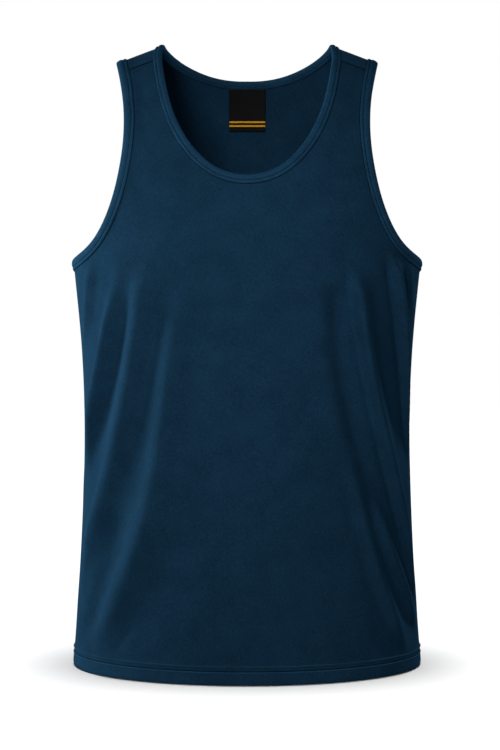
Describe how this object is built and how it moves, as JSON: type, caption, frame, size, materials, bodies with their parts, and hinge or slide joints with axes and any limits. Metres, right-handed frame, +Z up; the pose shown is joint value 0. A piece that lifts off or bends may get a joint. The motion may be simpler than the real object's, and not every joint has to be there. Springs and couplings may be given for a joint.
{
  "type": "running singlet",
  "caption": "Sleeveless running singlet in smooth navy knit, with a scoop neck, bound neck and armholes and a turned-up hem, filled out as if it were worn.",
  "frame": {"origin": "midway between the two shoulders, at the height where the shoulder straps are carried", "axes": "+Z up; the front faces -Y; +X is the wearer's left"},
  "size_m": [0.3868, 0.2572, 0.6832],
  "materials": {
    "body_knit": "smooth polyester interlock knit with a soft sheen",
    "binding_knit": "folded knit binding with a soft sheen",
    "label_tape": "matte woven tape"
  },
  "bodies": {
    "root": {"front_panel": "body_knit", "back_panel": "body_knit", "neck_band": "binding_knit", "armhole_band_left": "binding_knit", "armhole_band_right": "binding_knit", "neck_label": "label_tape"}
  },
  "joints": []
}
